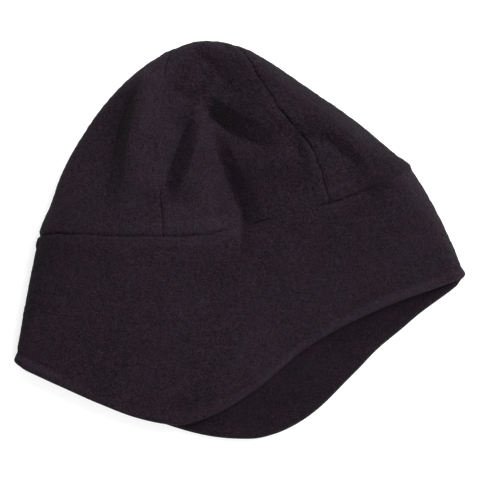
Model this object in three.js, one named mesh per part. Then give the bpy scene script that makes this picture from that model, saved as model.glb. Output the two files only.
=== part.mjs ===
// Fleece beanie with ear flaps, lying flat on its side: five crown gores on a deep double band.
// Millimetres. +X runs from the nape to the forehead, +Y from the hem to the crown, +Z up from the table.
// The layer that lies on the table is the far layer, and the one on top of it is the near layer.

import * as THREE from "three";

// Fleece walls
const WALL = 2.6;
const GAP = 0.35;
const GORE_GAP = 0.45;
const SEAM_DIP = 0.9;
const SEAM_DIP_WIDTH = 4.0;

// The flattened band is part of a ring: its seam to the crown is an arc
const SEAM_RADIUS = 353.4;
const SPREAD = 18.9;
const BAND_MEAN_HEIGHT = 80;
const FRONT_CENTRE = 16.25;
const HALF_LOOP = 2 * SPREAD;

// Radii of the soft folds at the forehead, at the nape, over the top of the crown and at the hem
const FOLD_FRONT = 13.0;
const FOLD_BACK = 8.0;
const FOLD_TOP = 10.5;
const FOLD_HEM = 10.0;

// How far the band bulges over the forehead between its seam and its hem
const FRONT_BULGE = 2.2;

// Height of the near layer, which is domed by the air that the hat holds
const HEIGHT_HEM = 19.5;
const HEIGHT_CROWN = 34.5;
const DOME_CENTRE_Y = 42;
const DOME_LENGTH = 62;
const DOME_RISE = 20;
const FOLD_RISE = 8;

// Where the crown's gores meet, in degrees past the top fold, on the far layer, and a gore's length
const POLE_TILT = 14;
const GORE_HEIGHT = 130;
const TIP_END = 0.992;

// The part's origin, under the middle of the whole hat
const ORIGIN_X = -2.55;
const ORIGIN_Y = -5.66;

// Mesh density: degrees between columns, and numbers of rows
const STEP_FRONT_FOLD = 4;
const STEP_BACK_FOLD = 3;
const STEP_NEAR = 4.2;
const STEP_FAR = 8;
const FRONT_FOLD_HALF = 16;
const BACK_FOLD_HALF = 12;
const BAND_ROWS = 7;
const GORE_ROWS = 16;
const GORE_TIP_ROW = 0.93;

// Where the seam to the crown leaves its arc on the near layer: fan angle, drop below the arc
const SEAM_LINE = [
  { angle: -18.9, drop: 5.5 },
  { angle: -17, drop: 2.8 },
  { angle: -13, drop: 1.2 },
  { angle: -8, drop: 0.3 },
  { angle: -5, drop: 1.2 },
  { angle: -2, drop: 0.8 },
  { angle: 0, drop: -1.2 },
  { angle: 4, drop: -2.0 },
  { angle: 9, drop: -2.6 },
  { angle: 18.9, drop: -2.6 },
];
const SEAM_DROP_BACK = 5.5;
const SEAM_DROP_FRONT = -2.6;
const FAR_SEAM_SAG = 12.5;

// Height of the band from the front centre (share 0) past the ear flap to the back centre (share 1)
const HEM = [
  { share: 0, height: 68.6 },
  { share: 0.095, height: 68.2 },
  { share: 0.22, height: 71 },
  { share: 0.321, height: 79.4 },
  { share: 0.405, height: 93.4 },
  { share: 0.476, height: 104.5 },
  { share: 0.55, height: 113 },
  { share: 0.588, height: 114.9 },
  { share: 0.664, height: 110.8 },
  { share: 0.745, height: 102.9 },
  { share: 0.83, height: 94.6 },
  { share: 0.93, height: 87 },
  { share: 1, height: 85.5 },
];

// How far each layer's hem has slid down by its fan angle
const NEAR_HEM_SLIP = [
  { angle: -18.9, drop: 0 },
  { angle: -17.5, drop: 1 },
  { angle: -8, drop: 1.2 },
  { angle: -5, drop: 1.4 },
  { angle: -2.5, drop: 1.9 },
  { angle: 4, drop: 1.8 },
  { angle: 8, drop: 1.1 },
  { angle: 11.5, drop: 0 },
  { angle: 14, drop: 0 },
  { angle: 16.7, drop: 0.9 },
  { angle: 18.9, drop: 2.9 },
];
const FAR_HEM_SLIP = [
  { angle: -18.9, drop: 0 },
  { angle: -17, drop: 3.6 },
  { angle: -12, drop: 10.6 },
  { angle: -6.7, drop: 13.6 },
  { angle: -3.5, drop: 13.6 },
  { angle: -0.6, drop: 13.5 },
  { angle: 1.7, drop: 15.9 },
  { angle: 3.3, drop: 16.7 },
  { angle: 5.1, drop: 16.5 },
  { angle: 6.9, drop: 15.5 },
  { angle: 8.6, drop: 15.7 },
  { angle: 10.2, drop: 14.2 },
  { angle: 12.4, drop: 12.6 },
  { angle: 14.3, drop: 9.9 },
  { angle: 17.9, drop: 5.4 },
  { angle: 18.9, drop: 2.9 },
];

// Outline of the crown as the reach from the middle of the seam, by direction in degrees
const CROWN_CENTRE_Y = 1.0;
const CROWN_OUTLINE = [
  { direction: 12.2, reach: 114.9 },
  { direction: 16, reach: 109.8 },
  { direction: 22, reach: 104.9 },
  { direction: 30, reach: 100.8 },
  { direction: 40, reach: 97.6 },
  { direction: 50, reach: 96.5 },
  { direction: 60, reach: 98.8 },
  { direction: 70, reach: 104.2 },
  { direction: 80, reach: 110.8 },
  { direction: 92, reach: 115.9 },
  { direction: 104, reach: 113.3 },
  { direction: 122, reach: 109.2 },
  { direction: 142, reach: 107.1 },
  { direction: 158, reach: 109.1 },
  { direction: 165, reach: 110.9 },
  { direction: 169.5, reach: 114.1 },
];

// The crown's gores: azimuths round the head of their two seams at the band, 0 at the front fold and
// 180 at the back fold, and how far each seam bends off its straight course low down and high up
const GORES = [
  { name: "gore_front", from: 339.8, to: 405.85, fromLow: 0, fromHigh: 0, toLow: -14.7, toHigh: 17.9 },
  { name: "gore_right", from: 45.85, to: 121.1, fromLow: -14.7, fromHigh: 17.9, toLow: 3, toHigh: -6 },
  { name: "gore_back_right", from: 121.1, to: 192.4, fromLow: 3, fromHigh: -6, toLow: 0, toHigh: 0 },
  { name: "gore_back_left", from: 192.4, to: 263.7, fromLow: 0, fromHigh: 0, toLow: 0, toHigh: 0 },
  { name: "gore_left", from: 263.7, to: 339.8, fromLow: 0, fromHigh: 0, toLow: 0, toHigh: 0 },
];

// Dents and ridges of the near layer: start x and y, end x and y, bow of that line to its left, width
// of the slope on its left and on its right, depth (a ridge is negative), shares of the line over
// which it fades at its start and at its end, and how round it is
const FOLDS = [
  [-7, 118, 9, 2, -3, 44, 30, 8.5, 0.45, 0.2, 1.5],
  [-66, 106, -99, 8, -4, 25, 24, 6, 0.35, 0.55, 3.6],
  [24, 102, 100, 29, 0, 9, 50, -4, 0.25, 0.3, 1.4],
  [-38, 106, -66, 18, -2.8, 60, 7, -6, 0.25, 0.65, 1.3],
  [-43, 101, -75, 18, -4.8, 7, 13, 5.5, 0.2, 0.65, 1.3],
  [-6, 82, -36, 20, 5, 16, 13, -8.5, 0.5, 0.3, 1.3],
  [-9, 78, -40, 22, -3, 9, 8.5, 8, 0.4, 0.35, 1.35],
  [-6, 70, 11, -2, -2, 12, 14, 5, 0.35, 0.15, 1.3],
  [-2, 68, 24, 0, 0, 30, 10, -2.5, 0.3, 0.2, 1.3],
  [-10, 92, 50, 48, -4, 60, 10, -5, 0.3, 0.5, 1.3],
  [-9, 80, 48, 44, -10.5, 12, 9, 4.5, 0.15, 0.6, 1.3],
  [-10, 83, 10, 58, -3.5, 9, 9, 3, 0.35, 0.5, 1.3],
  [-34, 98, -4, 74, 0, 8, 40, 5, 0.4, 0.4, 1.4],
  [-12, 119, 18, 75, 0, 5, 13, 1.8, 0.2, 0.3, 1.5],
  [46, 62, 47, 30, 0, 8, 9, 4, 0.35, 0.5, 1.5],
  [40, 72, 58, 12, 0, 40, 18, -2.6, 0.35, 0.4, 1.3],
  [58, 58, 90, 24, 3, 19, 9, -3, 0.25, 0.35, 1.3],
  [54, 51, 85, 20, 3, 8, 7, 3, 0.2, 0.35, 1.4],
  [8, 9, 1, -26, 0, 6, 9, 2.5, 0.15, 0.65, 1.4],
];

const radians = (degrees) => (degrees * Math.PI) / 180;
const mix = (a, b, share) => a + (b - a) * share;
const clamp = (value, low, high) => Math.min(high, Math.max(low, value));
const smooth = (share) => share * share * (3 - 2 * share);

// Smooth curve through the rows of a table
function through(rows, key, value, at) {
  const last = rows.length - 1;
  const x = clamp(at, rows[0][key], rows[last][key]);
  let i = 0;
  while (i < last - 1 && x > rows[i + 1][key]) i += 1;
  const width = (j) => rows[j + 1][key] - rows[j][key];
  const slope = (j) => (rows[j + 1][value] - rows[j][value]) / width(j);
  const tangent = (j) => {
    if (j === 0) return slope(0);
    if (j === last) return slope(last - 1);
    return (slope(j - 1) * width(j) + slope(j) * width(j - 1)) / (width(j - 1) + width(j));
  };
  const h = width(i);
  const t = (x - rows[i][key]) / h;
  const a = rows[i][value];
  const b = rows[i + 1][value];
  const bend = (t * t * t - 2 * t * t + t) * h * tangent(i) + (t * t * t - t * t) * h * tangent(i + 1);
  return mix(a, b, smooth(t)) + bend;
}

// Depth of all dents at a place in plan
function foldDepth(x, y) {
  let depth = 0;
  for (const [x0, y0, x1, y1, bow, left, right, deepest, start, end, round] of FOLDS) {
    const alongX = x1 - x0;
    const alongY = y1 - y0;
    const length = Math.hypot(alongX, alongY);
    const share = ((x - x0) * alongX + (y - y0) * alongY) / (length * length);
    if (share <= 0 || share >= 1) continue;
    const toLeft = (alongX * (y - y0) - alongY * (x - x0)) / length;
    const side = toLeft - bow * 4 * share * (1 - share);
    const width = side > 0 ? left : right;
    const ends = smooth(clamp(share / start, 0, 1)) * smooth(clamp((1 - share) / end, 0, 1));
    depth += deepest * ends * Math.exp(-((Math.abs(side) / width) ** round));
  }
  return depth;
}

// Height of the near layer above its fold, which it reaches some way in from the outline
function domeHeight(x, y, radius, inset) {
  const crown = Math.exp(-(((y - DOME_CENTRE_Y) / DOME_LENGTH) ** 2));
  const height = mix(HEIGHT_HEM, HEIGHT_CROWN, crown);
  const dome = (height - 2 * radius) * (1 - Math.exp(-inset / DOME_RISE));
  return dome - foldDepth(x, y) * (1 - Math.exp(-inset / FOLD_RISE));
}

// A fold's round edge: how far inside the outline a point lies, and its lift, by its distance
// along the cloth
function roundEdge(along, radius) {
  const turn = clamp(along / radius, 0, Math.PI / 2);
  const beyond = Math.max(0, along - (radius * Math.PI) / 2);
  return { inset: radius * (1 - Math.cos(turn)) + beyond, lift: radius * Math.sin(turn) };
}

// Place on the near or far layer from its plan and its edge
function raise(near, x, y, radius, edge) {
  const z = near ? radius + edge.lift + domeHeight(x, y, radius, edge.inset) : radius - edge.lift;
  return new THREE.Vector3(x, y, z);
}

function fanPoint(angle, drop) {
  const radius = SEAM_RADIUS + drop;
  return [radius * Math.sin(radians(angle)), SEAM_RADIUS - radius * Math.cos(radians(angle))];
}

function seamDrop(near, angle) {
  if (near) return through(SEAM_LINE, "angle", "drop", angle);
  const level = mix(SEAM_DROP_BACK, SEAM_DROP_FRONT, (angle + SPREAD) / (2 * SPREAD));
  return level + FAR_SEAM_SAG * Math.cos((Math.PI * angle) / (2 * SPREAD));
}

function hemDrop(near, angle) {
  const nearShare = Math.abs(FRONT_CENTRE - angle) / HALF_LOOP;
  const farTurn = (2 * SPREAD - FRONT_CENTRE - angle) / HALF_LOOP;
  const farShare = farTurn > 1 ? 2 - farTurn : farTurn;
  const slip = through(near ? NEAR_HEM_SLIP : FAR_HEM_SLIP, "angle", "drop", angle);
  return through(HEM, "share", "height", near ? nearShare : farShare) + slip;
}

// Outer surface of the band: azimuth round the head, level 0 at the seam and 1 at the hem
function bandPoint(azimuth, level) {
  const turn = ((azimuth % 360) + 360) % 360;
  const near = turn <= 180;
  const half = near ? turn : 360 - turn;
  const front = half < 90;
  const radius = mix(front ? FOLD_FRONT : FOLD_BACK, FOLD_HEM, smooth(level));
  const reach = (SEAM_RADIUS + BAND_MEAN_HEIGHT * level) * radians(SPREAD);
  const cloth = reach - radius + (radius * Math.PI) / 2;
  const edge = roundEdge(cloth * (1 - Math.abs(half - 90) / 90), radius);
  const angle = (front ? SPREAD : -SPREAD) * (1 - edge.inset / reach);
  const drop = mix(seamDrop(near, angle), hemDrop(near, angle), level);
  const [x, y] = fanPoint(angle, drop);
  const bulge = FRONT_BULGE * Math.sin(Math.PI * level) * clamp(angle / SPREAD, 0, 1) ** 6;
  return raise(near, x + bulge, y, radius, edge);
}

// The crown's outline, ended at the two ends of the seam
function outlineRow([x, y]) {
  const reach = Math.hypot(x, y - CROWN_CENTRE_Y);
  return { direction: THREE.MathUtils.radToDeg(Math.atan2(y - CROWN_CENTRE_Y, x)), reach };
}
const outline = [
  outlineRow(fanPoint(SPREAD, SEAM_DROP_FRONT)),
  ...CROWN_OUTLINE,
  outlineRow(fanPoint(-SPREAD, SEAM_DROP_BACK)),
];

// Outer surface of the crown for a direction from the middle of the head
function crownPoint(direction) {
  const near = direction.z >= 0;
  const off = THREE.MathUtils.radToDeg(Math.acos(clamp(Math.abs(direction.z), 0, 1)));
  const around = Math.atan2(Math.max(direction.y, 0), direction.x);
  const front = around < Math.PI / 2;
  const heading = mix(outline[0].direction, outline[outline.length - 1].direction, around / Math.PI);
  const span = through(outline, "direction", "reach", heading);
  const rimX = span * Math.cos(radians(heading));
  const rimY = CROWN_CENTRE_Y + span * Math.sin(radians(heading));
  const centreY = fanPoint(0, seamDrop(near, 0))[1];
  const [endX, endY] = fanPoint(front ? SPREAD : -SPREAD, front ? SEAM_DROP_FRONT : SEAM_DROP_BACK);
  const atSeam = (1 - Math.sin(around)) ** 2;
  const endReach = Math.hypot(endX, endY - centreY);
  const reach = Math.hypot(rimX, rimY - centreY) + atSeam * (SEAM_RADIUS * radians(SPREAD) - endReach);
  const radius = mix(FOLD_TOP, front ? FOLD_FRONT : FOLD_BACK, Math.cos(around) ** 2);
  const cloth = reach - radius + (radius * Math.PI) / 2;
  const edge = roundEdge(cloth * (1 - off / 90), radius);
  const share = 1 - edge.inset / reach;
  const angle = (front ? SPREAD : -SPREAD) * share;
  const [seamX, seamY] = fanPoint(angle, seamDrop(near, angle));
  const x = rimX * share + atSeam * (seamX - endX * share);
  const y = mix(centreY, rimY, share) + atSeam * (seamY - mix(centreY, endY, share));
  return raise(near, x, y, radius, edge);
}

// Direction a share of the way from the band up to the pole
const pole = new THREE.Vector3(0, Math.cos(radians(POLE_TILT)), -Math.sin(radians(POLE_TILT)));
function upTheCrown(azimuth, share) {
  const base = new THREE.Vector3(Math.cos(radians(azimuth)), 0, Math.sin(radians(azimuth)));
  const arc = base.angleTo(pole);
  const direction = base.multiplyScalar(Math.sin((1 - share) * arc) / Math.sin(arc));
  return direction.addScaledVector(pole, Math.sin(share * arc) / Math.sin(arc)).normalize();
}

// Point of a gore: side 0 at its first seam and 1 at its last, share 0 at the band and 1 at the pole
function gorePoint(gore, side, share) {
  const bendFrom = mix(gore.fromLow, gore.fromHigh, share);
  const bendTo = mix(gore.toLow, gore.toHigh, share);
  const bend = mix(bendFrom, bendTo, side) * Math.sin(Math.PI * share);
  return crownPoint(upTheCrown(mix(gore.from, gore.to, side) + bend, share));
}

// Outward normal of a surface by small steps along its two directions
const PROBE = 0.004;
function normalOf(surface, u, v, flip) {
  const acrossA = surface(u - PROBE, v);
  const acrossB = surface(u + PROBE, v);
  const upA = surface(u, Math.max(0, v - PROBE));
  const upB = surface(u, Math.min(1, v + PROBE));
  const normal = acrossB.sub(acrossA).cross(upB.sub(upA)).normalize();
  return flip ? normal.negate() : normal;
}

// Both pieces that meet at the band seam share one normal there, so their cut edges lie parallel
function seamNormal(azimuth) {
  const band = normalOf((u, v) => bandPoint(u * 360, v), azimuth / 360, 0, false);
  const crown = normalOf((u, v) => crownPoint(upTheCrown(u * 360, v)), azimuth / 360, 0, true);
  return band.add(crown).normalize();
}

// Column azimuths round the head, closer together in the folds, with a column on each crown seam
function columnsBetween(from, to) {
  const stepAt = (azimuth) => {
    const turn = azimuth % 360;
    if (Math.min(turn, 360 - turn) < FRONT_FOLD_HALF) return STEP_FRONT_FOLD;
    if (Math.abs(turn - 180) < BACK_FOLD_HALF) return STEP_BACK_FOLD;
    return turn < 180 ? STEP_NEAR : STEP_FAR;
  };
  const columns = [from];
  let azimuth = from;
  while (azimuth + stepAt(azimuth) * 1.4 < to) {
    azimuth += stepAt(azimuth);
    columns.push(azimuth);
  }
  columns.push(to);
  return columns;
}

// A closed mesh from its vertices and triangles
function solid(vertices, triangles) {
  const geometry = new THREE.BufferGeometry();
  const positions = new Float32Array(vertices.flatMap((p) => [p.x - ORIGIN_X, p.y - ORIGIN_Y, p.z]));
  geometry.setAttribute("position", new THREE.BufferAttribute(positions, 3));
  geometry.setIndex(triangles);
  geometry.computeVertexNormals();
  return geometry;
}

function quad(triangles, a, b, c, d) {
  triangles.push(a, c, b, a, d, c);
}

// Corners of one cell of a skin's grid, and the same corners the other way round
const cell = (at, skin, row, column) => [
  at(skin, row, column),
  at(skin, row + 1, column),
  at(skin, row + 1, column + 1),
  at(skin, row, column + 1),
];
const flipped = ([a, b, c, d]) => [a, d, c, b];

// Whole loop of cloth: outer and inner skins joined at the seam edge and at the hem
function loopSolid(azimuths, levels, outerInset, innerInset) {
  const vertices = [];
  const columns = azimuths.length;
  const rows = levels.length;
  const surface = (u, v) => bandPoint(u * 360, v);
  const skins = [outerInset, innerInset];
  for (const inset of skins) {
    levels.forEach((level, row) => {
      for (const azimuth of azimuths) {
        const normal = row === 0 ? seamNormal(azimuth) : normalOf(surface, azimuth / 360, level, false);
        const dip = row === 0 ? SEAM_DIP : 0;
        vertices.push(bandPoint(azimuth, level).addScaledVector(normal, -inset - dip));
      }
    });
  }
  const at = (skin, row, column) => (skin * rows + row) * columns + (column % columns);
  const triangles = [];
  for (let column = 0; column < columns; column += 1) {
    for (let row = 0; row < rows - 1; row += 1) {
      quad(triangles, ...cell(at, 0, row, column));
      quad(triangles, ...flipped(cell(at, 1, row, column)));
    }
    quad(triangles, at(0, 0, column + 1), at(1, 0, column + 1), at(1, 0, column), at(0, 0, column));
    const hem = rows - 1;
    quad(triangles, at(0, hem, column), at(1, hem, column), at(1, hem, column + 1), at(0, hem, column + 1));
  }
  return solid(vertices, triangles);
}

// Rows of every gore, as shares of the way from the band to the pole
const shares = [GAP / 2 / GORE_HEIGHT, SEAM_DIP_WIDTH / GORE_HEIGHT];
for (let row = 2; row < GORE_ROWS; row += 1) {
  shares.push(mix(shares[1], GORE_TIP_ROW, (row - 1) / (GORE_ROWS - 2)));
}

// One gore: a grid of columns and rows that ends in a single tip near the pole
function goreSolid(gore) {
  const azimuths = columnsBetween(gore.from, gore.to);
  const sides = azimuths.map((azimuth) => (azimuth - gore.from) / (gore.to - gore.from));
  const surface = (u, v) => gorePoint(gore, u, v);
  const vertices = [];
  const columns = azimuths.length;
  const rows = shares.length;
  for (const inset of [0, WALL]) {
    shares.forEach((share, row) => {
      let width = 0;
      for (let column = 1; column < columns; column += 1) {
        width += surface(sides[column], share).distanceTo(surface(sides[column - 1], share));
      }
      const edge = GORE_GAP / 2 / width;
      sides.forEach((side, column) => {
        const u = mix(edge, 1 - edge, side);
        const normal = row === 0 ? seamNormal(azimuths[column]) : normalOf(surface, u, share, true);
        const dip = row === 0 ? SEAM_DIP : 0;
        vertices.push(surface(u, share).addScaledVector(normal, -inset - dip));
      });
    });
    const tipNormal = normalOf(surface, 0.5, GORE_TIP_ROW, true);
    vertices.push(surface(0.5, TIP_END).addScaledVector(tipNormal, -inset));
  }
  const perSkin = rows * columns + 1;
  const at = (skin, row, column) => skin * perSkin + row * columns + column;
  const tip = (skin) => skin * perSkin + rows * columns;
  const triangles = [];
  for (let column = 0; column < columns - 1; column += 1) {
    for (let row = 0; row < rows - 1; row += 1) {
      quad(triangles, ...flipped(cell(at, 0, row, column)));
      quad(triangles, ...cell(at, 1, row, column));
    }
    quad(triangles, at(0, 0, column + 1), at(0, 0, column), at(1, 0, column), at(1, 0, column + 1));
    triangles.push(at(0, rows - 1, column + 1), at(0, rows - 1, column), tip(0));
    triangles.push(at(1, rows - 1, column), at(1, rows - 1, column + 1), tip(1));
  }
  for (let row = 0; row < rows - 1; row += 1) {
    const end = columns - 1;
    quad(triangles, at(0, row + 1, 0), at(1, row + 1, 0), at(1, row, 0), at(0, row, 0));
    quad(triangles, at(0, row + 1, end), at(0, row, end), at(1, row, end), at(1, row + 1, end));
  }
  quad(triangles, tip(0), tip(1), at(1, rows - 1, 0), at(0, rows - 1, 0));
  quad(triangles, at(0, rows - 1, columns - 1), at(1, rows - 1, columns - 1), tip(1), tip(0));
  return solid(vertices, triangles);
}

function fleece(color, roughness) {
  return new THREE.MeshStandardMaterial({ color, roughness, metalness: 0, side: THREE.DoubleSide });
}

function named(name, geometry, material) {
  const mesh = new THREE.Mesh(geometry, material);
  mesh.name = name;
  return mesh;
}

// The crown's gores
const crownFleece = fleece(0x272027, 0.95);
const bandFleece = fleece(0x282128, 0.95);
const group = new THREE.Group();
for (const gore of GORES) {
  group.add(named(gore.name, goreSolid(gore), crownFleece));
}

// The band's two layers, which share the crown's columns
const loop = GORES.flatMap((gore) => columnsBetween(gore.from, gore.to).slice(0, -1));
const bandLevels = [GAP / 2 / BAND_MEAN_HEIGHT, SEAM_DIP_WIDTH / BAND_MEAN_HEIGHT];
for (let row = 2; row <= BAND_ROWS; row += 1) {
  bandLevels.push(mix(bandLevels[1], 1, (row - 1) / (BAND_ROWS - 1)));
}
group.add(named("band_outer", loopSolid(loop, bandLevels, 0, WALL), bandFleece));
group.add(named("band_facing", loopSolid(loop, bandLevels, WALL + GAP, 2 * WALL + GAP), bandFleece));

export default group;
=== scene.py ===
"""Looks for a fleece beanie with ear flaps that lies flat on its side.

The hat is five crown gores and a double band. The band is part of a flattened cone, so its places
are fan angles in degrees and drops below the seam arc. The crown's places are directions from the
middle of the seam. The far layer lies on the table and the near layer is domed over it. Lengths are
millimetres in the pattern frame, in which the part frame's origin is at (ORIGIN_X, ORIGIN_Y). A
vertex attribute lightens or darkens the fleece's colour. Above 0 it is painted light, partly for
flattened pile along the hem and beside seams. Below 0 it is painted shade in seams, on fold walls,
along the crown's rim and in streaks.
"""

from collections import namedtuple

import bpy
import numpy as np
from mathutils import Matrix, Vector


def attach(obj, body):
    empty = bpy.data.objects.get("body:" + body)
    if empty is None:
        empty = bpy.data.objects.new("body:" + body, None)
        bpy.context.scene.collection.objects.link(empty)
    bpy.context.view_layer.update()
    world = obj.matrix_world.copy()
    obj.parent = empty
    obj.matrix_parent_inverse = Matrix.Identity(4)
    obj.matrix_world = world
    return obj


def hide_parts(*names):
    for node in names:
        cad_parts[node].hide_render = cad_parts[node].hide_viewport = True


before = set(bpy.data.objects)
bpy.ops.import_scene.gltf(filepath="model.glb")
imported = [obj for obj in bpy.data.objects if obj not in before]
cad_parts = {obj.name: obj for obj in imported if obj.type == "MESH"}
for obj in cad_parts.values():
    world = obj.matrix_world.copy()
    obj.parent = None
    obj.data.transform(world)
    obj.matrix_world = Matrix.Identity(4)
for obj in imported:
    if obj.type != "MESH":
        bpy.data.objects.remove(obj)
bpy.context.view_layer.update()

# Units and the pattern frame
MM = 0.001
ORIGIN_X = -2.55
ORIGIN_Y = -5.66

# Cloth: its thickness, the gaps between band and facing, between cut edges and above the table,
# and the thickness that is left under the deepest dip
WALL = 2.6
LAYER_GAP = 0.35
PIECE_GAP = 0.05
TABLE_GAP = 0.02
THINNEST = 0.4

# The flattened cone of the band
SEAM_RADIUS = 353.4
SPREAD = 18.9
BAND_MEAN_HEIGHT = 80.0
BAND_ROWS_HEIGHT = 92.0
FRONT_CENTRE = 16.25
SEAM_DROP_BACK = 7.4
SEAM_DROP_FRONT = -2.6
FAR_SEAM_SAG = 12.5
FRONT_BULGE = 2.2
FRONT_BULGE_POWER = 6

# Soft folds and the dome of the near layer
FOLD_FRONT = 13.0
FOLD_BACK = 8.0
FOLD_TOP = 10.5
FOLD_HEM = 6.5
HEIGHT_HEM = 19.5
HEIGHT_CROWN = 34.5
DOME_CENTRE_Y = 42.0
DOME_LENGTH = 62.0
DOME_RISE = 20.0
FOLD_RISE = 8.0
HEM_DROOP = 6.5
HEM_DROOP_FROM = 0.4

# The crown: where its directions start, the tilt of the point where the gores meet, a gore's
# length, and the shares of the way up at its last row and at its tip
CROWN_CENTRE_Y = 1.0
POLE_TILT = 14.0
GORE_LENGTH = 130.0
TIP_ROW = 0.985
TIP_END = 0.997

# Mesh spacing, the zones in which it changes, and the lengths that it divides
SPACING_NEAR = 0.9
SPACING_BAND = 1.1 * SPACING_NEAR
SPACING_FAR = 1.9
SPACING_SEAM = 0.35
SEAM_ZONE = 2.5
FOLD_ZONE = 30.0
CROWN_ROUND = 489.0
BAND_HALF_ROUND = 245.0
SHARP_EDGE = np.radians(55)

# Dip of the cloth into a seam, and the ridge of the allowance behind it
SEAM_DIP = 1.1
SEAM_DIP_WIDTH = 0.7
SEAM_DIP_POWER = 1.3
ALLOWANCE_RISE = 0.9
ALLOWANCE_WIDTH = 8.5
ALLOWANCE_START = 2.5
ALLOWANCE_END = 3.0
CROWN_SIDE_PUFF = 0.5
GORE_ALLOWANCE = 0.5
TIP_FADE = 0.1

# Puckers and stitches along a seam
PUCKER_RISE = 0.45
PUCKER_REACH = 6.0
PUCKER_SIZE = 4.5
PUCKER_STRETCH = 0.25
STITCH_LENGTH = 2.8
STITCH_SHARE = 0.45

# How far seams wander off their course, and the sizes of the bends: azimuth degrees on the crown,
# millimetres at the band
SEAM_WANDER = 1.6
SEAM_WANDER_SIZE = 17.0
SEAM_WANDER_FINE = 0.4
SEAM_WANDER_FINE_SIZE = 6.0
BAND_SEAM_WANDER = 0.5
BAND_SEAM_WANDER_SIZE = 13.0
LAYERS_APART = 40.0
WANDER_FADE = 3

# Bead along the hem and the groove above it
HEM_BEAD = 0.9
HEM_BEAD_AT = 3.2
HEM_BEAD_WIDTH = 2.6
HEM_BEAD_START = 1.5
HEM_BEAD_UNEVEN = 0.35
HEM_BEAD_UNEVEN_SIZE = 14.0
HEM_GROOVE = 0.6
HEM_GROOVE_AT = 7.6
HEM_GROOVE_WIDTH = 1.3
HEM_ROUNDING = WALL - 0.1

# Waves and nap of the cloth, and how far from a seam and from the hem they have set in
WAVE_RISE = 0.6
WAVE_SIZE = 27.0
WAVE_STRETCH = np.array([1, 1, 0.5])
NAP_RISE = 0.2
NAP_SIZE = 1.9
NAP_LUMPS = 0.6
NAP_LUMP_SIZE = 3.7
CALM_SEAM = 2.0
CALM_HEM = 1.0

# Painted light and shade in the fleece's colour: a painted highlight along the hem and beside
# seams, partly for flattened pile there, painted shade in seams, painted light on the far facing in
# front of the near hem that lifts the near hem's shadow, and painted shade on the walls of the
# dents that face away from the painted light's heading, with painted light on those that face it
HEM_PRESSED_HIGHLIGHT = 6.5
HEM_PRESSED_HIGHLIGHT_POWER = 4
SEAM_PRESSED_HIGHLIGHT_START = 1.5
SEAM_PRESSED_HIGHLIGHT_BEYOND = 2
SEAM_PRESSED_HIGHLIGHT_END = 5.0
SEAM_PAINTED_SHADE = 1.1
SEAM_PAINTED_SHADE_WIDTH = 0.8
HEM_SHADOW_PAINTED_LIGHT = 2.0
HEM_SHADOW_PAINTED_LIGHT_WIDTH = 4.0
PAINTED_LIGHT_HEADING = np.radians(15)
WALL_PAINTED_SHADE = 2.0
WALL_PAINTED_SHADE_MOST = 1.0
WALL_PAINTED_LIGHT_MOST = 0.2
WALL_UPWARD = 2
RIM_WIDTH = 15.0

# Start numbers of the noises, and what each use adds to its piece's own
SEED_GORES = 20
SEED_GORE_STEP = 7
SEED_BAND = 71
SEED_FACING = 83
SEED_SEAM_FINE = 3
SEED_BAND_SEAM = 5
ADD_NAP = 1
ADD_NAP_LUMPS = 2
ADD_HEM = 5

# Numbers that scatter the places of the noise
HASH_PLACE = np.array([73856093, 19349663, 83492791])
HASH_SEED = 2654435761
HASH_ROUNDS = ((13, 1274126177), (16, 2246822519))
HASH_WORD = 0xFFFFFFFF
HASH_STEPS = 0xFFFF

# Fan angle and drop of the near seam between crown and band
SEAM_LINE = [
    (-18.9, 7.4), (-17.5, 4.3), (-16, 2.9), (-13, 1.7), (-8, 0.8), (-5, 1.6),
    (-2, 1.1), (0, -1.0), (4, -2.0), (9, -2.6), (18.9, -2.6),
]

# Share of the way from front centre to back centre, and height of the band there
HEM = [
    (0, 68.6), (0.095, 68.2), (0.22, 71), (0.321, 79.4), (0.405, 93.4), (0.476, 104.5),
    (0.55, 113), (0.588, 114.9), (0.664, 110.8), (0.745, 102.9), (0.83, 94.6), (0.93, 87),
    (1, 85.5),
]

# Fan angle, and how far the hem has slid down there
NEAR_HEM_SLIP = [
    (-18.9, 0), (-17.5, 1.0), (-8, 1.2), (-5, 1.4), (-2.5, 1.9), (4, 1.8), (8, 1.1), (11.5, 0),
    (14, 0), (16.7, 0.9), (18.9, 2.9),
]
FAR_HEM_SLIP = [
    (-18.9, 0), (-17, 3.6), (-12, 10.6), (-6.7, 13.6), (-3.5, 13.6), (-0.6, 13.5), (1.7, 15.9),
    (3.3, 16.7), (5.1, 16.5), (6.9, 15.5), (8.6, 15.7), (10.2, 14.2), (12.4, 12.6), (14.3, 9.9),
    (17.9, 5.4), (18.9, 2.9),
]

# Direction from the middle of the seam, and reach of the crown's outline there
CROWN_OUTLINE = [
    (12.2, 114.9), (16, 109.8), (22, 104.9), (30, 100.8), (40, 97.6), (50, 96.5), (60, 98.8),
    (70, 104.2), (80, 110.8), (92, 115.9), (104, 113.3), (122, 109.2), (142, 107.1), (158, 109.1),
    (165, 110.9), (169.5, 114.1),
]

# Strength of a crown seam's dip and of the painted shade in it, by the share of the way up it
RIGHT_SEAM_LOOK = [
    (0, 0.8), (0.2, 1.1), (0.34, 1.2), (0.37, 0.3), (0.43, 1.5), (0.52, 1.0), (0.8, 0.8), (1, 0.6),
]
LEFT_SEAM_LOOK = [
    (0, 0.8), (0.12, 0.7), (0.2, 0.4), (0.27, 0.0), (0.68, 0.0), (0.74, 1.0), (1, 0.9),
]
OTHER_SEAM_LOOK = [(0, 0.7), (1, 0.6)]

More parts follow.
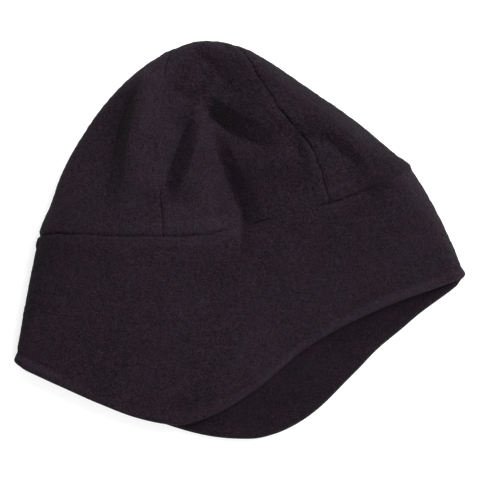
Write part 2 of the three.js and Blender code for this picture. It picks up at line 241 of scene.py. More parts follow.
# Crown seams in their order round the head: azimuth at the band, how far the seam bends off its
# straight course below its middle and above it, and its look
Seam = namedtuple("Seam", "azimuth low high look")
CROWN_SEAMS = [
    Seam(339.8, 0, 0, OTHER_SEAM_LOOK),
    Seam(405.85, -14.7, 17.9, RIGHT_SEAM_LOOK),
    Seam(121.1, 3, -6, LEFT_SEAM_LOOK),
    Seam(192.4, 0, 0, OTHER_SEAM_LOOK),
    Seam(263.7, 0, 0, OTHER_SEAM_LOOK),
]

# Gores from each crown seam to the next
GORE_NAMES = ["gore_front", "gore_right", "gore_back_right", "gore_back_left", "gore_left"]

# Dents of the near layer: start x and y, end x and y, bow to the left, widths of the slope on the
# left and on the right of that direction, depth (a ridge is negative), taper at start and at end,
# and sharpness of the crease (1 is a crease, 2 is round)
FOLDS = [
    (-7, 118, 9, 2, -3.0, 44.0, 30.0, 8.5, 0.45, 0.2, 1.4),  # basin down the middle
    (-66, 106, -99, 8, -4.0, 25.0, 24.0, 6.0, 0.35, 0.55, 3.5),  # flat dent at the left rim
    (24, 102, 100, 29, 0.0, 9.0, 50.0, -4.0, 0.25, 0.3, 1.3),  # swell inside the right rim
    (-38, 106, -66, 18, -2.8, 60.0, 7.0, -6.0, 0.25, 0.65, 1.1),  # left fold, ridge
    (-43, 101, -75, 18, -4.8, 7.0, 13.0, 5.5, 0.2, 0.65, 1.15),  # left fold, valley
    (-6, 82, -36, 20, 5.0, 16.0, 13.0, -8.5, 0.5, 0.3, 1.1),  # middle fold, ridge
    (-9, 78, -40, 22, -3.0, 9.0, 8.5, 8.0, 0.4, 0.35, 1.25),  # middle fold, valley
    (-6, 70, 11, -2, -2.0, 12.0, 14.0, 5.0, 0.35, 0.15, 1.2),  # upright fold, valley
    (-2, 68, 24, 0, 0.0, 30.0, 10.0, -2.5, 0.3, 0.2, 1.2),  # upright fold, ridge
    (-10, 92, 50, 48, -4.0, 60.0, 10.0, -5.0, 0.3, 0.5, 1.15),  # slanting fold, ridge
    (-9, 80, 48, 44, -10.5, 12.0, 9.0, 4.5, 0.15, 0.6, 1.1),  # slanting fold, valley
    (-10, 83, 10, 58, -3.5, 9.0, 9.0, 3.0, 0.35, 0.5, 1.1),  # pit where three folds meet
    (-34, 98, -4, 74, 0.0, 8.0, 40.0, 5.0, 0.4, 0.4, 1.3),  # soft dip left of the top
    (-12, 119, 18, 75, 0.0, 5.0, 13.0, 1.8, 0.2, 0.3, 1.4),  # faint fold from the top
    (46, 62, 47, 30, 0.0, 8.0, 9.0, 4.0, 0.35, 0.5, 1.4),  # dent left of the right seam
    (40, 72, 58, 12, 0.0, 40.0, 18.0, -2.6, 0.35, 0.4, 1.2),  # swell along the right seam
    (58, 58, 90, 24, 3.0, 19.0, 9.0, -3.0, 0.25, 0.35, 1.2),  # right fold, ridge
    (54, 51, 85, 20, 3.0, 8.0, 7.0, 3.0, 0.2, 0.35, 1.3),  # right fold, valley
    (8, 9, 1, -26, 0.0, 6.0, 9.0, 2.5, 0.15, 0.65, 1.3),  # crease on into the band
]

# Look of the near band seam: x, strength of its dip and of the painted shade in it, strength of the
# puffed strip beside it and of its painted highlight
BAND_SEAM_LOOK = [
    (-118, 0.4, 0.1), (-112, 1.0, 0.1), (-98, 1.0, 0.1), (-80, 0.8, 0.2), (-56, 0.7, 0.8),
    (-30, 0.6, 1.0), (-10, 0.5, 1.0), (5, 0.3, 0.6), (14, 0.8, 0.2), (22, 1.0, 0.1),
    (28, 0.4, 0.05), (33, 0.0, 0.0), (50, 0.0, 0.0), (57, 0.9, 0.1), (63, 1.2, 0.1),
    (82, 0.9, 0.1), (91, 0.4, 0.1), (98, 0.05, 0.05), (107, 0.0, 0.05),
]
FAR_SEAM_LOOK = 0.7

# Strength of the bead along the near hem, and of its painted highlight, by x
NEAR_HEM_LOOK = [
    (-137, 0.9), (-118, 0.85), (-105, 0.6), (-92, 0.3), (-70, 0.12), (-50, 0.12), (-35, 0.4),
    (-12, 0.8), (20, 1), (110, 1), (137, 1.4),
]
FAR_HEM_LOOK = 0.5

# Direction from the middle of the seam, and the painted shade along the crown's rim there
RIM_PAINTED_SHADE = [(5, 0), (12, -1.1), (32, -1.9), (48, -1.6), (63, -1.2), (80, -0.6), (95, 0)]

# Streaks of painted light and shade on the near layer: start x and y, end x and y, half width, and
# strength (below 0 painted shade, above 0 painted highlight)
PAINTED_STREAKS = [
    (-21, 82, -13, 42, 11.0, -0.9),  # between the middle fold and the upright fold
    (20, 72, 42, 58, 13.0, -0.8),  # below the slanting fold
    (73, 34, 90, 12, 9.0, -1.1),  # at the right rim above the band
    (68, 3, 98, -2, 11.0, -0.45),  # below the right end of the band seam
    (30, -30, 72, -20, 25.0, -0.3),  # broad, across the right of the band
    (5, 60, 0, 14, 7.0, -0.7),  # down the upright fold
    (-118, 8, -124, -28, 10.0, -0.7),  # at the left end of the band seam
    (-45, 84, -56, 26, 8.0, 0.8),  # painted highlight, along the left fold's ridge
    (-34, 14, -14, 16, 8.0, 0.5),  # painted highlight, at the foot of the middle fold
    (-34, 101, -24, 105, 7.0, 0.9),  # painted highlight, left of the top
    (-110, 4, -80, -2, 9.0, -0.5),  # below the left of the band seam
    (-46, -101, -26, -98, 4.0, -0.9),  # at the hem of the ear flap
    (74, 0, 78, -2, 3.0, -0.6),  # small marks round the right end of the band seam
    (89, 13.5, 95, 13, 3.5, -0.6),
    (95, -11, 98, -15, 3.0, -0.5),
]

# Fleece: linear colours of the pile's shaded ground and of its lit tips, their places on the ramp,
# the painted shade that darkens the inside of the hat, and the two casts that the colour drifts
# between
PILE_GROUND = (0.0048, 0.0021, 0.0046)
PILE_TIPS = (0.0258, 0.0157, 0.0243)
GROUND_PLACE = 0.1
TIPS_PLACE = 0.95
INSIDE_PAINTED_SHADE = 0.68
CAST_COOL = (0.885, 1.045, 1.0)
CAST_WARM = (1.09, 0.96, 1.0)

# Noises of the pile: scale to the metre, detail, roughness, distortion, and the range of the noise
# with the values that its two ends become
PILE_NOISES = {
    "clumps": (480, 2, 0.6, 0.6, 0.3, 0.7, 0.0, 1.0),
    "curls": (540, 1, 0.5, 1.2, 0.0, 0.1, 1.0, 0.0),
    "fibres": (1150, 1, 0.6, 0.0, 0.3, 0.7, 0.0, 1.0),
    "clouds": (45, 2, 0.5, 0.0, 0.3, 0.7, 0.92, 1.08),
    "hues": (85, 3, 0.6, 0.0, 0.35, 0.65, 0.0, 1.0),
    "matted": (28, 2, 0.5, 0.0, 0.42, 0.62, 0.0, 1.0),
}
NOISE_MIDDLE = 0.5

# Shares in the pile's height, how far matting levels it, its contrast about its mean, what the
# painted light and shade adds at full strength, and the bump in metres
CLUMPS_SHARE = 0.2
CURLS_SHARE = 0.4
FIBRES_SHARE = 0.4
MATTED = 0.3
PILE_MEAN = 0.42
PILE_CONTRAST = 1.3
PAINTED_LIGHT_GAIN = 0.16
PILE_BUMP = 0.0007

# Settings of the fleece's shader: dull, with a faint cool sheen
FLEECE_SHADER = {
    "Roughness": 0.95,
    "Specular IOR Level": 0.1,
    "Sheen Weight": 0.03,
    "Sheen Roughness": 0.45,
    "Sheen Tint": (0.54, 0.62, 0.6, 1),
}

# Numbers of a mix node's two inputs and of its output, for values and for colours
MIX_SOCKETS = {"FLOAT": (2, 3, 0), "RGBA": (6, 7, 2)}

# White table, in metres
FLOOR_HALF = 3.0
FLOOR_LEVEL = -0.0004
FLOOR_SHADER = {
    "Base Color": (0.45, 0.45, 0.45, 1),
    "Emission Color": (1, 1, 1, 1),
    "Emission Strength": 0.7,
    "Roughness": 0.9,
}

# Soft lights: heading and height above the table in degrees, distance in metres, power in watts
# and size in metres
LIGHTS = {
    "key": (40, 41, 2.6, 110, 1.8),
    "side": (304, 32, 2.4, 36, 1.5),
    "fill": (120, 38, 1.6, 6, 1.2),
}
WORLD_STRENGTH = 0.29

# The photograph looks straight down on the hat, turned a little about the view. The view is this
# wide at the level VIEW_LEVEL above the table.
VIEW_ROLL = np.radians(7.75)
VIEW_X = 4.2
VIEW_Y = -6.9
VIEW_WIDTH = 291.9
VIEW_LEVEL = 15
VIEW_HEIGHT = 2000
VIEW_END = 20000
SENSOR = 36


def mix(a, b, share):
    """Value that share of the way from a to b."""
    return a + (b - a) * share


def smooth(share):
    """Share from 0 to 1 that sets out and arrives softly."""
    t = np.clip(share, 0, 1)
    return t * t * (3 - 2 * t)


def bell(distance, width, power=2):
    """1 in the middle and 0 far beyond the width."""
    return np.exp(-((distance / width) ** power))


def through(rows, at):
    """Smooth curve through the rows of a table."""
    table = np.asarray(rows, float)
    xs, ys = table[:, 0], table[:, 1]
    step = np.diff(xs)
    slope = np.diff(ys) / step
    tangent = np.empty(len(xs))
    tangent[1:-1] = (slope[:-1] * step[:-1] + slope[1:] * step[1:]) / (step[:-1] + step[1:])
    tangent[0], tangent[-1] = slope[0], slope[-1]
    x = np.clip(at, xs[0], xs[-1])
    i = np.clip(np.searchsorted(xs, x, side="right") - 1, 0, len(xs) - 2)
    t = (x - xs[i]) / step[i]
    bend = (t**3 - 2 * t**2 + t) * step[i] * tangent[i] + (t**3 - t**2) * step[i] * tangent[i + 1]
    return mix(ys[i], ys[i + 1], t * t * (3 - 2 * t)) + bend


def spots(x, y=0.0, z=0.0):
    """Points of these coordinates."""
    return np.stack(np.broadcast_arrays(x, y, z), axis=-1)


def grain(points, size, seed):
    """Smooth noise from -1 to 1 with lumps of that size, at points in millimetres."""
    cell = points / size
    low = np.floor(cell).astype(np.int64)
    part = smooth(cell - low)
    total = np.zeros(points.shape[:-1])
    # The products may run over, which scatters them too
    with np.errstate(over="ignore"):
        for corner in range(8):
            step = np.array([corner & 1, corner >> 1 & 1, corner >> 2 & 1])
            key = (low + step) @ HASH_PLACE + seed * HASH_SEED
            for shift, factor in HASH_ROUNDS:
                key = (key ^ (key >> shift)) * factor & HASH_WORD
            value = (key & HASH_STEPS) / (HASH_STEPS / 2) - 1
            weight = np.where(step == 1, part, 1 - part).prod(axis=-1)
            total += value * weight
    return total


def fold_depth(x, y):
    """Depth of all dents at a place in plan."""
    depth = np.zeros_like(x)
    for x0, y0, x1, y1, bow, left, right, deep, taper_start, taper_end, sharpness in FOLDS:
        length = np.hypot(x1 - x0, y1 - y0)
        along = ((x - x0) * (x1 - x0) + (y - y0) * (y1 - y0)) / length**2
        across = ((x1 - x0) * (y - y0) - (y1 - y0) * (x - x0)) / length
        inside = np.clip(along, 0, 1)
        side = across - bow * 4 * inside * (1 - inside)
        width = np.where(side > 0, left, right)
        ends = smooth(along / taper_start) * smooth((1 - along) / taper_end)
        depth += deep * ends * bell(np.abs(side), width, sharpness)
    return depth


def fold_wall(x, y):
    """Slope of the dents along the painted light's heading, below 0 on the walls that face away
    from it and get painted shade.
    """
    step_x, step_y = np.cos(PAINTED_LIGHT_HEADING), np.sin(PAINTED_LIGHT_HEADING)
    return (fold_depth(x + step_x, y + step_y) - fold_depth(x - step_x, y - step_y)) / 2


def round_edge(along, radius):
    """Inset from the outline and lift above the fold's middle, by the distance along the cloth."""
    turn = np.clip(along / radius, 0, np.pi / 2)
    beyond = np.maximum(0, along - radius * np.pi / 2)
    return radius * (1 - np.cos(turn)) + beyond, radius * np.sin(turn)


def raised(near, x, y, radius, inset, lift, droop=0):
    """Points of the near or far layer over their places in plan."""
    height = mix(HEIGHT_HEM, HEIGHT_CROWN, bell(y - DOME_CENTRE_Y, DOME_LENGTH)) - droop
    domed = radius + lift + (height - 2 * radius) * (1 - np.exp(-inset / DOME_RISE))
    domed -= fold_depth(x, y) * (1 - np.exp(-inset / FOLD_RISE))
    return np.stack([x, y, np.where(near, domed, radius - lift)], axis=-1)


def fan_point(angle, drop):
    """Place in plan of a fan angle and a drop."""
    radius = SEAM_RADIUS + drop
    turn = np.radians(angle)
    return radius * np.sin(turn), SEAM_RADIUS - radius * np.cos(turn)


def seam_drop(near, angle):
    """Drop of the seam between crown and band."""
    level = mix(SEAM_DROP_BACK, SEAM_DROP_FRONT, (angle + SPREAD) / (2 * SPREAD))
    inward = np.cos(np.pi * angle / (2 * SPREAD))
    place = spots(np.radians(angle) * SEAM_RADIUS, near * LAYERS_APART)
    wander = BAND_SEAM_WANDER * grain(place, BAND_SEAM_WANDER_SIZE, SEED_BAND_SEAM)
    wander *= np.clip(WANDER_FADE * inward, 0, 1)
    return np.where(near, through(SEAM_LINE, angle), level + FAR_SEAM_SAG * inward) + wander


def hem_drop(near, angle):
    """Drop of the hem."""
    near_share = np.abs(FRONT_CENTRE - angle) / (2 * SPREAD)
    far_turn = (2 * SPREAD - FRONT_CENTRE - angle) / (2 * SPREAD)
    far_share = np.where(far_turn > 1, 2 - far_turn, far_turn)
    slip = np.where(near, through(NEAR_HEM_SLIP, angle), through(FAR_HEM_SLIP, angle))
    return through(HEM, np.where(near, near_share, far_share)) + slip


def band_place(azimuth, level):
    """Fan angle and drop on the band, the layer it is on, and its inset, lift and fold radius.
    The level is 0 at the seam and 1 at the hem."""
    turn = azimuth % 360
    near = turn <= 180
    half = np.where(near, turn, 360 - turn)
    front = half < 90
    radius = mix(np.where(front, FOLD_FRONT, FOLD_BACK), FOLD_HEM, smooth(level))
    reach = (SEAM_RADIUS + BAND_MEAN_HEIGHT * level) * np.radians(SPREAD)
    cloth = reach - radius + radius * np.pi / 2
    inset, lift = round_edge(cloth * (1 - np.abs(half - 90) / 90), radius)
    angle = np.where(front, SPREAD, -SPREAD) * (1 - inset / reach)
    drop = mix(seam_drop(near, angle), hem_drop(near, angle), level)
    return angle, drop, near, inset, lift, radius


def band_surface(azimuth, level):
    """Outer surface of the band."""
    angle, drop, near, inset, lift, radius = band_place(azimuth, level)
    x, y = fan_point(angle, drop)
    front = np.clip(angle / SPREAD, 0, 1) ** FRONT_BULGE_POWER
    bulge = FRONT_BULGE * np.sin(np.pi * level) * front
    droop = HEM_DROOP * smooth((level - HEM_DROOP_FROM) / (1 - HEM_DROOP_FROM))
    return raised(near, x + bulge, y, radius, inset, lift, droop)


def outline_rows():
    """The crown's outline, ended at the two ends of the seam."""
    ends = []
    for angle, drop in ((SPREAD, SEAM_DROP_FRONT), (-SPREAD, SEAM_DROP_BACK)):
        x, y = fan_point(angle, drop)
        y -= CROWN_CENTRE_Y
        ends.append((np.degrees(np.arctan2(y, x)), np.hypot(x, y)))
    return [ends[0], *CROWN_OUTLINE, ends[1]]


OUTLINE = outline_rows()


def crown_surface(direction):
    """Outer surface of the crown for unit directions from the middle of the head."""
    near = direction[..., 2] >= 0
    off = np.degrees(np.arccos(np.clip(np.abs(direction[..., 2]), 0, 1)))
    around = np.arctan2(np.maximum(direction[..., 1], 0), direction[..., 0])
    front = around < np.pi / 2
    heading = mix(OUTLINE[0][0], OUTLINE[-1][0], around / np.pi)
    span = through(OUTLINE, heading)
    rim_x = span * np.cos(np.radians(heading))
    rim_y = CROWN_CENTRE_Y + span * np.sin(np.radians(heading))
    centre_y = fan_point(0, seam_drop(near, np.zeros_like(off)))[1]
    end_angle = np.where(front, SPREAD, -SPREAD)
    end_x, end_y = fan_point(end_angle, np.where(front, SEAM_DROP_FRONT, SEAM_DROP_BACK))
    at_seam = (1 - np.sin(around)) ** 2
    end_reach = np.hypot(end_x, end_y - centre_y)
    reach = np.hypot(rim_x, rim_y - centre_y)
    reach = reach + at_seam * (SEAM_RADIUS * np.radians(SPREAD) - end_reach)
    radius = mix(FOLD_TOP, np.where(front, FOLD_FRONT, FOLD_BACK), np.cos(around) ** 2)
    cloth = reach - radius + radius * np.pi / 2
    inset, lift = round_edge(cloth * (1 - off / 90), radius)
    share = 1 - inset / reach
    angle = end_angle * share
    seam_x, seam_y = fan_point(angle, seam_drop(near, angle))
    x = rim_x * share + at_seam * (seam_x - end_x * share)
    y = mix(centre_y, rim_y, share) + at_seam * (seam_y - mix(centre_y, end_y, share))
    return raised(near, x, y, radius, inset, lift)


def up_the_crown(azimuth, share):
    """Unit direction a share of the way from the band up to the point where the gores meet."""
    turn, tilt = np.radians(azimuth), np.radians(POLE_TILT)
    base = np.stack([np.cos(turn), np.zeros_like(turn), np.sin(turn)], axis=-1)
    pole = np.array([0, np.cos(tilt), -np.sin(tilt)])
    arc = np.arccos(np.clip(base @ pole, -1, 1))
    direction = base * (np.sin((1 - share) * arc) / np.sin(arc))[..., None]
    return direction + pole * (np.sin(share * arc) / np.sin(arc))[..., None]


def seam_azimuth(seam, share):
    """Azimuth of a crown seam a share of the way up it."""
    place = spots(share * GORE_LENGTH)
    wander = grain(place, SEAM_WANDER_SIZE, int(seam.azimuth) % 360)
    wander += SEAM_WANDER_FINE * grain(place, SEAM_WANDER_FINE_SIZE, SEED_SEAM_FINE)
    bend = mix(seam.low, seam.high, share) + SEAM_WANDER * wander
    return seam.azimuth + bend * np.sin(np.pi * share)


def gore_surface(first, last, side, share):
    """Outer surface of a gore: side 0 at its first seam and 1 at its last."""
    azimuth = mix(seam_azimuth(first, share), seam_azimuth(last, share), side)
    return crown_surface(up_the_crown(azimuth, share))


def normals_of(points, wraps):
    """Unit normals of a grid of points, rows up the hat and columns round it."""
    if wraps:
        around = np.roll(points, -1, axis=1) - np.roll(points, 1, axis=1)
    else:
        around = np.gradient(points, axis=1)
    up = np.gradient(points, axis=0)
    normal = np.cross(up, around)
    return normal / np.maximum(np.linalg.norm(normal, axis=-1, keepdims=True), 1e-9)


def stitched(along):
    """Strength along a seam, a little less at each stitch."""
    return 1 - STITCH_SHARE * (0.5 + 0.5 * np.cos(2 * np.pi * along / STITCH_LENGTH))


def seam_relief(distance, along, seed, strength, allowance):
    """Dip of the cloth into a seam, its puckers, and the ridge of the allowance behind it."""
    dip = -SEAM_DIP * strength * stitched(along) * bell(distance, SEAM_DIP_WIDTH, SEAM_DIP_POWER)
    ripple = grain(spots(along, distance * PUCKER_STRETCH), PUCKER_SIZE, seed)
    pucker = PUCKER_RISE * ripple * bell(distance, PUCKER_REACH)
    edge = smooth((ALLOWANCE_WIDTH - distance) / ALLOWANCE_END) * smooth(distance / ALLOWANCE_START)
    return dip + strength * pucker + allowance * ALLOWANCE_RISE * edge


def hem_relief(distance, look):
    """Bead along the hem with the groove above it, rounded over the edge."""
    bead = HEM_BEAD * bell(distance - HEM_BEAD_AT, HEM_BEAD_WIDTH)
    groove = -HEM_GROOVE * bell(distance - HEM_GROOVE_AT, HEM_GROOVE_WIDTH)
    away = np.clip(HEM_ROUNDING - distance, 0, HEM_ROUNDING)
    rounding = np.sqrt(np.maximum(HEM_ROUNDING**2 - away**2, 0)) - HEM_ROUNDING
    return look * (bead * smooth(distance / HEM_BEAD_START) + groove) + rounding


def cloth_relief(points, seed):
    """Soft waves and nap of the fleece."""
    waves = WAVE_RISE * grain(points * WAVE_STRETCH, WAVE_SIZE, seed)
    nap = grain(points, NAP_SIZE, seed + ADD_NAP)
    nap += NAP_LUMPS * grain(points, NAP_LUMP_SIZE, seed + ADD_NAP_LUMPS)
    return waves + NAP_RISE * nap


def hem_pressed_highlight(distance, look):
    """Painted highlight along the hem, partly for its flattened pile."""
    return look * bell(distance - HEM_PRESSED_HIGHLIGHT / 2, HEM_PRESSED_HIGHLIGHT / 2, HEM_PRESSED_HIGHLIGHT_POWER)


def seam_pressed_highlight(distance, look):
    """Painted highlight beside a seam, partly for its flattened pile."""
    end = (ALLOWANCE_WIDTH + SEAM_PRESSED_HIGHLIGHT_BEYOND - distance) / SEAM_PRESSED_HIGHLIGHT_END
    return look * smooth(distance / SEAM_PRESSED_HIGHLIGHT_START) * smooth(end)


def seam_painted_shade(distance, along, look):
    """Painted shade in a seam's groove."""
    return -SEAM_PAINTED_SHADE * look * stitched(along) * bell(distance, SEAM_PAINTED_SHADE_WIDTH)


def painted_light_in_hem_shadow(azimuth, level):
    """Painted light on the far facing in front of the near hem, which lifts the near hem's shadow
    there.
    """
    angle, drop, near, *_ = band_place(azimuth, level)
    beyond = drop - hem_drop(True, angle)
    return HEM_SHADOW_PAINTED_LIGHT * np.where(near, 0, bell(beyond, HEM_SHADOW_PAINTED_LIGHT_WIDTH))


def painted_light_and_shade_on_fold_walls(points, normal):
    """Painted shade on the near layer's fold walls that face away from the painted light's heading,
    and painted light on those that face it.
    """
    slope = fold_wall(points[..., 0], points[..., 1])
    painted_light_and_pile_state = WALL_PAINTED_SHADE * np.clip(slope, -WALL_PAINTED_SHADE_MOST, WALL_PAINTED_LIGHT_MOST)
    return painted_light_and_pile_state * np.clip(WALL_UPWARD * normal[..., 2], 0, 1)


def painted_shade_on_rim(points, normal):
    """Painted shade along the rim of the crown on the near layer."""
    x, y = points[..., 0], points[..., 1] - CROWN_CENTRE_Y
    heading = np.degrees(np.arctan2(y, x))
    inset = through(OUTLINE, heading) - np.hypot(x, y)
    return np.where(normal[..., 2] > 0, through(RIM_PAINTED_SHADE, heading), 0) * bell(inset, RIM_WIDTH)


def painted_streaks(points, normal):
    """Painted shade and painted highlights in streaks on the near layer."""
    x, y = points[..., 0], points[..., 1]
    total = np.zeros_like(x)
    for x0, y0, x1, y1, width, painted_light_and_pile_state in PAINTED_STREAKS:
        run_x, run_y = x1 - x0, y1 - y0
        share = np.clip(((x - x0) * run_x + (y - y0) * run_y) / (run_x**2 + run_y**2), 0, 1)
        away = np.hypot(x - x0 - share * run_x, y - y0 - share * run_y)
        total += painted_light_and_pile_state * bell(away, width)
    return np.where(normal[..., 2] > 0, total, 0)


def band_seam_look(points):
    """Strength of the dip and its painted shade, and of the puffed strip and its painted highlight,
    along the band seam at points on it.
    """
    near = points[..., 2] > HEIGHT_HEM / 2
    x = points[..., 0]
    dip = np.where(near, through([row[:2] for row in BAND_SEAM_LOOK], x), FAR_SEAM_LOOK)
    puff = np.where(near, through([(row[0], row[2]) for row in BAND_SEAM_LOOK], x), FAR_SEAM_LOOK)
    return dip, puff


def hem_look(points, along, seed):
    """Strength of the bead along the hem and of its painted highlight, at points on it."""
    near = points[..., 2] > HEIGHT_HEM / 2
    strength = np.where(near, through(NEAR_HEM_LOOK, points[..., 0]), FAR_HEM_LOOK)
    uneven = grain(spots(along), HEM_BEAD_UNEVEN_SIZE, seed + ADD_HEM)
    return strength * (1 + HEM_BEAD_UNEVEN * uneven)


def faces_between(first, second, wraps):
    """Quads between two rows of vertex numbers, facing the side where first to second and the
    run of the rows are a left-handed pair."""
    if wraps:
        first, second = np.append(first, first[0]), np.append(second, second[0])
    return np.stack([first[:-1], second[:-1], second[1:], first[1:]], axis=-1)


def skins_to_mesh(name, outer, inner, painted_light_and_pile_state, wraps, tips=()):
    """Closed mesh of an outer and an inner skin, each a grid of rows and columns, with the painted
    light and shade. The last rows end in two tips, or else in an edge like the first rows' edge."""
    rows, columns = outer.shape[:2]
    count = rows * columns
    grid = np.arange(count).reshape(rows, columns)
    inside = grid + count
    quads = []
    for row in range(rows - 1):
        quads.append(faces_between(grid[row], grid[row + 1], wraps))
        quads.append(faces_between(inside[row + 1], inside[row], wraps))
    quads.append(faces_between(inside[0], grid[0], wraps))
    if not wraps:
        quads.append(faces_between(grid[:, 0], inside[:, 0], False))
        quads.append(faces_between(inside[:, -1], grid[:, -1], False))
    fans = []
    if tips:
        top, bottom = 2 * count, 2 * count + 1
        fans += [(a, top, b) for a, b in zip(grid[-1][:-1], grid[-1][1:])]
        fans += [(b, bottom, a) for a, b in zip(inside[-1][:-1], inside[-1][1:])]
        fans.append((grid[-1, 0], inside[-1, 0], bottom, top))
        fans.append((inside[-1, -1], grid[-1, -1], top, bottom))
    else:
        quads.append(faces_between(grid[-1], inside[-1], wraps))
    points = [outer.reshape(-1, 3), inner.reshape(-1, 3), *(tip[None] for tip in tips)]
    vertices = np.concatenate(points) - np.array([ORIGIN_X, ORIGIN_Y, 0])
    faces = np.concatenate(quads).tolist() + [tuple(int(i) for i in fan) for fan in fans]
    mesh = bpy.data.meshes.new(name)
    mesh.from_pydata((vertices * MM).tolist(), [], faces)
    mesh.shade_smooth()
    mesh.set_sharp_from_angle(angle=SHARP_EDGE)
    # The painted light and shade, with the flattened pile, goes on as a vertex attribute
    values = np.concatenate([painted_light_and_pile_state.ravel(), painted_light_and_pile_state.ravel(), np.zeros(len(tips))])
    painted_light_and_pressed_pile = mesh.attributes.new("painted_light_and_pressed_pile", "FLOAT", "POINT")
    painted_light_and_pressed_pile.data.foreach_set("value", values.astype(np.float32))
    piece = bpy.data.objects.new(name, mesh)
    bpy.context.scene.collection.objects.link(piece)
    return piece


def spaced(length, step_at):
    """Places from 0 to length whose spacing follows step_at."""
    places = [0.0]
    while places[-1] < length:
        places.append(places[-1] + step_at(places[-1]))
    return np.array(places) * length / places[-1]


def seam_step(place, length, usual):
    """Spacing at a place on a length with a seam at both ends."""
    return SPACING_SEAM if min(place, length - place) < SEAM_ZONE else usual


def on_table(points):
    """Points that don't go below the table."""
    points[..., 2] = np.maximum(points[..., 2], TABLE_GAP)
    return points


def gore_grid(first, last):
    """Shares of the way up a gore and sides across it, closer together at its seams."""
    middle = (first.azimuth + last.azimuth) / 2 % 360
    usual = SPACING_NEAR if middle < 180 else SPACING_FAR
    width = (last.azimuth - first.azimuth) / 360 * CROWN_ROUND
    sides = spaced(width, lambda place: seam_step(place, width, usual)) / width
    shares = spaced(GORE_LENGTH, lambda place: SPACING_SEAM if place < SEAM_ZONE else usual)
    shares = PIECE_GAP / 2 / GORE_LENGTH + shares / GORE_LENGTH * TIP_ROW
    return np.meshgrid(shares, sides, indexing="ij")


def gore_piece(name, first, last, seed):
    """Cloth of a gore between two crown seams."""
    share, side = gore_grid(first, last)
    base = gore_surface(first, last, side, share)
    steps = np.linalg.norm(np.diff(base, axis=1), axis=-1)
    across = np.concatenate([np.zeros((len(share), 1)), np.cumsum(steps, axis=1)], axis=1)
    row_width = across[:, -1:]
    edge = PIECE_GAP / 2 / row_width
    base = gore_surface(first, last, mix(edge, 1 - edge, side), share)
    normal = normals_of(base, False)
    up = share * GORE_LENGTH
    dip, puff = band_seam_look(base[:1])
    relief = seam_relief(up, across, seed, dip, puff * CROWN_SIDE_PUFF)
    # Painted highlights beside the band seam, painted shade in seams, on fold walls and along the
    # rim, and painted streaks
    painted_light_and_pile_state = seam_pressed_highlight(up, puff) + painted_light_and_shade_on_fold_walls(base, normal) + seam_painted_shade(up, across, dip)
    painted_light_and_pile_state += painted_shade_on_rim(base, normal) + painted_streaks(base, normal)
    fade = smooth((1 - share) / TIP_FADE)
    at_last = row_width - across
    for seam, distance, allowance in ((first, across, GORE_ALLOWANCE), (last, at_last, 0.0)):
        look = through(seam.look, share)
        seam_seed = seed + int(seam.azimuth)
        relief += fade * seam_relief(distance, up, seam_seed, look, allowance * look)
        # Painted shade in the seam's groove
        painted_light_and_pile_state += fade * seam_painted_shade(distance, up, look)
    calm = smooth(np.minimum(np.minimum(up, across), at_last) / CALM_SEAM)
    relief = np.maximum(relief, THINNEST - WALL) + cloth_relief(base, seed) * calm
    outer = on_table(base + normal * relief[..., None])
    inner = base - normal * WALL
    tip = gore_surface(first, last, 0.5, np.array(TIP_END))
    tip_normal = normal[-1, normal.shape[1] // 2]
    return skins_to_mesh(name, outer, inner, painted_light_and_pile_state, False, tips=(tip, tip - tip_normal * WALL))


def band_grid():
    """Levels from the hem up and azimuths round the band, closer together at the seam, at the hem,
    on the near layer and in the folds."""

    def step_at(place):
        if place < BAND_HALF_ROUND + FOLD_ZONE or place > 2 * BAND_HALF_ROUND - FOLD_ZONE:
            return SPACING_NEAR
        return SPACING_FAR

    height = BAND_ROWS_HEIGHT
    levels = spaced(height, lambda place: seam_step(place, height, SPACING_BAND)) / height
    levels = PIECE_GAP / 2 / height + levels * (1 - PIECE_GAP / 2 / height)
    azimuths = spaced(2 * BAND_HALF_ROUND, step_at)[:-1] / (2 * BAND_HALF_ROUND) * 360
    return np.meshgrid(levels[::-1], azimuths, indexing="ij")


def band_piece(name, inset, shows_outside, seed):
    """Cloth of one layer of the band, inset from the band's outer surface."""
    level, azimuth = band_grid()
    base = band_surface(azimuth, level)
    normal = normals_of(base, True)
    height = np.linalg.norm(np.diff(base, axis=0), axis=-1).sum(axis=0)[None, :]
    below_seam = level * height
    above_hem = (1 - level) * height
    steps = np.linalg.norm(base - np.roll(base, 1, axis=1), axis=-1)
    around = np.cumsum(steps, axis=1)
    dip, puff = band_seam_look(base[-1:])
    bead = hem_look(base[:1], around[:1], seed)
    relief = seam_relief(below_seam, around, seed, dip, puff) + hem_relief(above_hem, bead)
    # Painted highlights along the hem and beside the seam, painted shade in the seam and on fold
    # walls, painted light in the near hem's shadow, and painted streaks
    painted_light_and_pile_state = hem_pressed_highlight(above_hem, bead) + seam_pressed_highlight(below_seam, puff)
    painted_light_and_pile_state += painted_light_and_shade_on_fold_walls(base, normal) + seam_painted_shade(below_seam, around, dip)
    painted_light_and_pile_state += painted_light_in_hem_shadow(azimuth, level) + painted_streaks(base, normal)
    calm = smooth(below_seam / CALM_SEAM) * smooth(above_hem / CALM_HEM)
    relief = np.maximum(relief, THINNEST - WALL) + cloth_relief(base, seed) * calm
    outer = base - normal * inset
    inner = base - normal * (inset + WALL)
    if shows_outside:
        outer = on_table(outer + normal * relief[..., None])
    else:
        inner -= normal * relief[..., None]
    return skins_to_mesh(name, outer, inner, painted_light_and_pile_state, True)


def set_inputs(node, values):
    """Sets a node's inputs by their names."""
    for name, value in values.items():
        node.inputs[name].default_value = value


